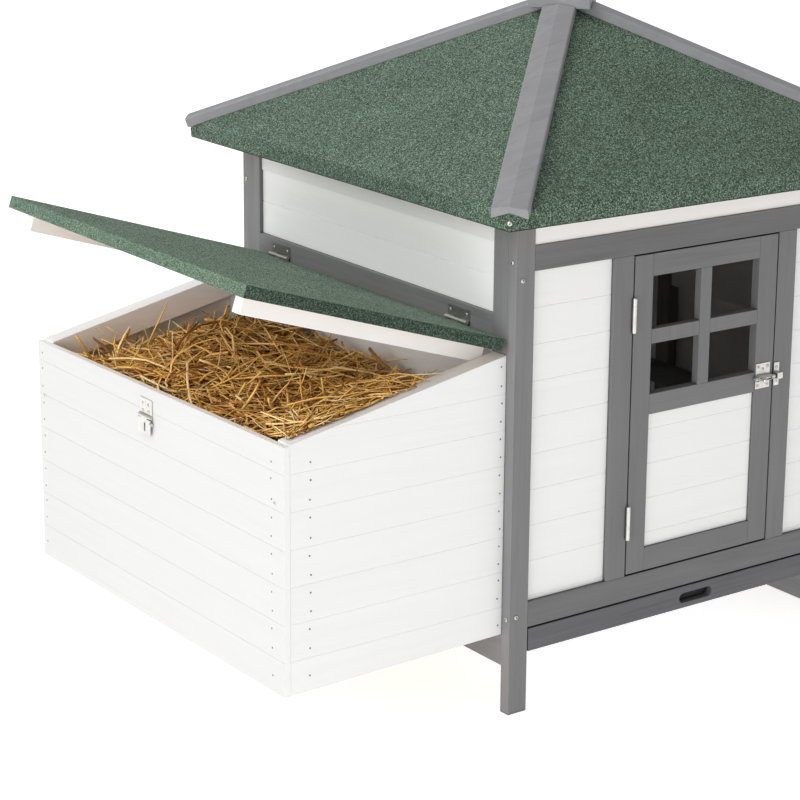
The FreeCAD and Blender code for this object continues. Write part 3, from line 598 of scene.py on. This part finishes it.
# ------------------------------------------------------------------ straw
def straw(name, count, seed, over=False):
    r = np.random.default_rng(seed)
    K = 7
    x0, x1, y0, y1 = -333.0, -3.0, 48.5, 642.0

    def surf(x, y):
        return (415 + 7 * np.sin(x / 46.0 + 1.3) * np.cos(y / 61.0) + 5 * np.sin(y / 33.0 + x / 71.0)
                + 4 * np.sin(x / 19.0) * np.sin(y / 23.0 + 2) + 16 * np.exp(-((x + 30) / 70.0) ** 2 - ((y - 600) / 80.0) ** 2)
                - 12 * np.exp(-((x + 320) / 40.0) ** 2 - ((y - 630) / 60.0) ** 2)
                + 16 * np.exp(-((x + 330) / 170.0) ** 2 - ((y - 50) / 110.0) ** 2)
                - 26 * np.exp(-((x + 215) / 105.0) ** 2 - ((y - 620) / 110.0) ** 2)
                + 26 * np.exp(-((x + 185) / 120.0) ** 2 - ((y - 45) / 75.0) ** 2))

    n = count * (60 if over else 3)
    L = np.clip(r.lognormal(4.6, 0.5, n), 30, 260)
    cx = r.uniform(x0, x1, n)
    cy = r.uniform(28, 90, n) if over else r.uniform(y0, y1, n)
    if over:
        cx = -330 + 260 * r.random(n) ** 1.5
    th = r.uniform(0, 2 * math.pi, n)
    el = r.normal(0, math.radians(13), n)
    stick = r.random(n) < 0.06
    el[stick] = np.radians(r.uniform(25, 70, stick.sum()))
    L[stick] *= 0.7
    depth = np.clip(r.exponential(9.0, n) - 5.0, -8.0, 40.0)
    depth[stick] = r.uniform(0, 12, stick.sum())
    s = np.linspace(-0.5, 0.5, K)[None, :]
    bend = r.normal(0, 0.10, n)[:, None]
    bendz = r.normal(-0.03, 0.05, n)[:, None]
    kink = r.random(n) < 0.28
    kk = r.uniform(-0.35, 0.35, n)[:, None]
    ka = (r.normal(0, 0.45, n) * kink)[:, None]
    lx = L[:, None] * s
    ly = L[:, None] * (bend * (4 * s * s - 1) + ka * np.maximum(0, s - kk))
    lz = L[:, None] * (bendz * (4 * s * s - 1) + 0.5 * ka * np.maximum(0, s - kk) * r.normal(0, 1, n)[:, None])
    ce, se = np.cos(el)[:, None], np.sin(el)[:, None]
    ax = lx * ce - lz * se
    az = lx * se + lz * ce
    ct, st = np.cos(th)[:, None], np.sin(th)[:, None]
    px = cx[:, None] + ax * ct - ly * st
    py = cy[:, None] + ax * st + ly * ct
    lift = np.where(stick, L * np.abs(np.sin(el)) * 0.42, 0.0)
    pz = surf(px, py) * 0.6 + surf(cx, cy)[:, None] * 0.4 - depth[:, None] + az + lift[:, None]
    ok = (px.min(1) > x0) & (px.max(1) < x1) & (py.min(1) > y0) & (py.max(1) < y1)
    ok &= (pz < np.where(stick[:, None], np.minimum(492.0, 526.0 + 65.5 * px / 345.0), 508.0 + 65.5 * px / 345.0)).all(1)
    ok &= ~((pz.max(1) > 462) & ((px.max(1) > -175)))
    if over:
        ok = (px.min(1) > x0) & (px.max(1) < -70) & (py.min(1) > 29.5) & (py.max(1) < 120)
        rim = 504.5 + (504.5 - 439.0) * px / 345.0
        lift2 = np.maximum(0, (rim + 2.5 - pz))
        near = py < 49
        pz = pz + np.where(near.any(1), (lift2 * near).max(1), 0.0)[:, None]
        ok &= near.any(1) & (pz < rim + 14.0).all(1) & ((lift2 * near).max(1) < 45)
    idx = np.nonzero(ok)[0][:count]
    px, py, pz, L = px[idx], py[idx], pz[idx], L[idx]
    m = len(idx)
    P = np.stack([px, py, pz], -1)
    T = np.gradient(P, axis=1)
    T /= np.linalg.norm(T, axis=-1, keepdims=True) + 1e-9
    roll = r.uniform(0, math.pi, m)[:, None, None]
    up = np.array([0, 0, 1.0])[None, None, :] + 0.01
    A = np.cross(T, up)
    A /= np.linalg.norm(A, axis=-1, keepdims=True) + 1e-9
    B = np.cross(A, T)
    A2 = A * np.cos(roll) + B * np.sin(roll)
    B2 = -A * np.sin(roll) + B * np.cos(roll)
    w = np.where(r.random(m) < 0.55, r.uniform(0.55, 1.15, m), np.clip(r.normal(1.8, 0.45, m), 1.1, 3.0))[:, None, None]
    taper = (1 - 0.35 * np.linspace(0, 1, K) ** 3)[None, :, None]
    w1 = w * taper
    w2 = w * taper * r.uniform(0.35, 0.9, m)[:, None, None]
    ring = np.stack([P + A2 * w1, P + B2 * w2, P - A2 * w1, P - B2 * w2], axis=2)   # m,K,4,3
    verts = ((ring.reshape(-1, 3) - np.array([15.5, 9.0, 0])) / 1000.0)
    base = (np.arange(m) * K * 4)[:, None, None]
    kk_, jj_ = np.meshgrid(np.arange(K - 1), np.arange(4), indexing="ij")
    a = kk_ * 4 + jj_
    b = kk_ * 4 + (jj_ + 1) % 4
    quad = np.stack([a, b, b + 4, a + 4], -1).reshape(1, -1, 4)
    faces = (quad + base).reshape(-1, 4)
    caps = np.stack([np.array([3, 2, 1, 0]), (K - 1) * 4 + np.array([0, 1, 2, 3])])[None] + base
    faces = np.concatenate([faces, caps.reshape(-1, 4)])
    me = bpy.data.meshes.new(name)
    me.vertices.add(len(verts))
    me.vertices.foreach_set("co", verts.astype(np.float32).ravel())
    me.loops.add(faces.size)
    me.loops.foreach_set("vertex_index", faces.astype(np.int32).ravel())
    me.polygons.add(len(faces))
    me.polygons.foreach_set("loop_start", (np.arange(len(faces)) * 4).astype(np.int32))
    me.polygons.foreach_set("loop_total", np.full(len(faces), 4, np.int32))
    me.update(calc_edges=True)
    me.validate()
    pal = np.array([[0.92, 0.64, 0.25], [0.84, 0.55, 0.18], [0.64, 0.38, 0.09], [0.96, 0.76, 0.38],
                    [0.42, 0.21, 0.045], [0.80, 0.56, 0.17], [0.26, 0.11, 0.02], [0.98, 0.85, 0.55]])
    pk = r.choice(len(pal), m, p=[0.22, 0.2, 0.18, 0.11, 0.12, 0.08, 0.05, 0.04])
    tone = pal[pk] * r.uniform(0.85, 1.2, (m, 1)) * np.array([1.16, 1.06, 0.92])[None, :]
    # painted shade: stalks lying deeper below the straw surface are darkened
    deep = np.clip((surf(P[:, K // 2, 0], P[:, K // 2, 1]) - P[:, K // 2, 2]) / 26.0, 0, 1)[:, None]
    tone = tone * (1 - 0.72 * deep)
    ca = me.color_attributes.new("tone", "FLOAT_COLOR", "POINT")
    cols = np.ones((len(verts), 4), np.float32)
    cols[:, :3] = np.repeat(tone, K * 4, axis=0)
    ca.data.foreach_set("color", cols.ravel())
    for p in me.polygons:
        p.use_smooth = True
    return link(name, me, "house", "straw"), surf


sw, SURF = straw("nest_straw_stalks", 8500, 21)
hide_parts("nest_straw")
straw("nest_straw_over_rim", 380, 33, over=True)


def straw_bed():
    """A lumpy, dark brown mass under the loose stalks: painted shade of the deeper straw."""
    bm = bmesh.new()
    nx, ny = 66, 118
    x0, x1, y0, y1 = -334.5, -1.5, 47.5, 643.0
    r = np.random.default_rng(5)
    g = r.normal(0, 2.2, (nx + 1, ny + 1))
    vs = []
    for i in range(nx + 1):
        row = []
        for j in range(ny + 1):
            x = x0 + (x1 - x0) * i / nx
            y = y0 + (y1 - y0) * j / ny
            z = float(SURF(np.array(x), np.array(y))) - 15 + g[i, j]
            row.append(bm.verts.new(H(x, y, z)))
        vs.append(row)
    for i in range(nx):
        for j in range(ny):
            bm.faces.new((vs[i][j], vs[i + 1][j], vs[i + 1][j + 1], vs[i][j + 1]))
    edge = [vs[i][0] for i in range(nx + 1)] + [vs[nx][j] for j in range(1, ny + 1)] \
        + [vs[i][ny] for i in range(nx - 1, -1, -1)] + [vs[0][j] for j in range(ny - 1, 0, -1)]
    low = [bm.verts.new(Vector((v.co.x, v.co.y, 0.1225))) for v in edge]
    for i in range(len(edge)):
        j = (i + 1) % len(edge)
        bm.faces.new((edge[j], edge[i], low[i], low[j]))
    bm.faces.new(low)
    bmesh.ops.recalc_face_normals(bm, faces=bm.faces[:])
    for f in bm.faces:
        f.smooth = True
    me = bpy.data.meshes.new("nest_straw_bed")
    bm.to_mesh(me)
    bm.free()
    m, nt, bs = new_mat("straw_bed_shade")
    a = noise(nt, coords(nt, (30, 420, 200), rot=(0, 0, 0.6)), 1.0, 5.0, 0.7, 1.0)
    b = noise(nt, coords(nt, (420, 26, 200), rot=(0, 0, 0.5)), 1.0, 5.0, 0.7, 1.0)
    c1 = ramp(nt, a, [(0.35, (0.035, 0.016, 0.005)), (0.6, (0.22, 0.12, 0.04)), (0.8, (0.42, 0.26, 0.09))])
    c2 = ramp(nt, b, [(0.35, (0.03, 0.014, 0.004)), (0.6, (0.18, 0.10, 0.03)), (0.8, (0.38, 0.24, 0.08))])
    col = mul(nt, c1, c2, 0.5, "LIGHTEN")
    nt.links.new(col, bs.inputs["Base Color"])
    nt.links.new(ramp(nt, a, [(0.3, 0.95), (0.8, 0.7)]), bs.inputs["Roughness"])
    bump(nt, bs, mul(nt, a, b, 0.5, "ADD"), 0.004, 1.0)
    M["bed"] = m
    return link("nest_straw_bed", me, "house", "bed")


straw_bed()

# ------------------------------------------------------------------ floor, light and camera
bm = bmesh.new()
bmesh.ops.create_circle(bm, cap_ends=True, segments=96, radius=14.0)
me = bpy.data.meshes.new("floor")
bm.to_mesh(me)
bm.free()
floor = bpy.data.objects.new("floor", me)
bpy.context.scene.collection.objects.link(floor)
fm, nt, bs = new_mat("floor_pale")
fc = ramp(nt, noise(nt, coords(nt, (3, 3, 3)), 1.0, 3.0), [(0.3, (0.74, 0.74, 0.74)), (0.7, (0.76, 0.76, 0.76))])
nt.links.new(fc, bs.inputs["Base Color"])
bs.inputs["Roughness"].default_value = 0.9
bs.inputs["Specular IOR Level"].default_value = 0.1
bs.inputs["Emission Color"].default_value = (1.0, 1.0, 1.0, 1.0)
bs.inputs["Emission Strength"].default_value = 0.72
me.materials.append(fm)

sc = bpy.context.scene
world = bpy.data.worlds.new("studio")
sc.world = world
world.use_nodes = True
wn = world.node_tree
wn.nodes.clear()
wo = wn.nodes.new("ShaderNodeOutputWorld")
wb = wn.nodes.new("ShaderNodeBackground")
wb.inputs["Color"].default_value = (1.0, 1.0, 1.0, 1.0)
wb.inputs["Strength"].default_value = 0.46
wc = wn.nodes.new("ShaderNodeBackground")
wc.inputs["Color"].default_value = (1.0, 1.0, 1.0, 1.0)
wc.inputs["Strength"].default_value = 1.0
wl = wn.nodes.new("ShaderNodeLightPath")
wm = wn.nodes.new("ShaderNodeMixShader")
wn.links.new(wl.outputs["Is Camera Ray"], wm.inputs[0])
wn.links.new(wb.outputs[0], wm.inputs[1])
wn.links.new(wc.outputs[0], wm.inputs[2])
wn.links.new(wm.outputs[0], wo.inputs[0])


def area(name, loc, target, size, energy):
    d = bpy.data.lights.new(name, "AREA")
    d.shape = "SQUARE"
    d.size = size
    d.energy = energy
    o = bpy.data.objects.new(name, d)
    sc.collection.objects.link(o)
    o.location = loc
    o.rotation_mode = "QUATERNION"
    o.rotation_quaternion = (Vector(target) - Vector(loc)).to_track_quat("-Z", "Y")
    return o


area("key", (-4.4, 0.1, 2.7), (0.0, 0.3, 0.45), 2.2, 69)
area("front", (0.3, -4.9, 1.5), (0.2, 0.0, 0.4), 2.4, 17)
area("top", (-1.7, 0.9, 4.4), (0.1, 0.3, 0.3), 2.6, 85)
area("low", (-3.9, -1.5, 0.95), (-0.1, 0.35, 0.5), 1.8, 48)

az, el, roll = math.radians(-39.01), math.radians(14.76), math.radians(1.41)
back = Vector((math.sin(az) * math.cos(el), -math.cos(az) * math.cos(el), math.sin(el)))
right = Vector((0, 0, 1)).cross(back).normalized()
up = back.cross(right)
r2 = right * math.cos(roll) + up * math.sin(roll)
u2 = -right * math.sin(roll) + up * math.cos(roll)
cd = bpy.data.cameras.new("camera")
cam = bpy.data.objects.new("camera", cd)
sc.collection.objects.link(cam)
mw = Matrix((r2, u2, back)).transposed().to_4x4()
mw.translation = H(-1912.62, -2457.48, 1368.56)
cam.matrix_world = mw
cd.sensor_fit = "HORIZONTAL"
cd.sensor_width = 36.0
cd.lens = 2467.33 * 36.0 / 800.0
cd.shift_x = (400.0 - 561.88) / 800.0
cd.shift_y = (327.51 - 400.0) / 800.0
cd.clip_start = 0.05
cd.clip_end = 100.0
sc.camera = cam
sc.view_settings.view_transform = "Standard"
sc.view_settings.look = "None"

bpy.context.view_layer.update()
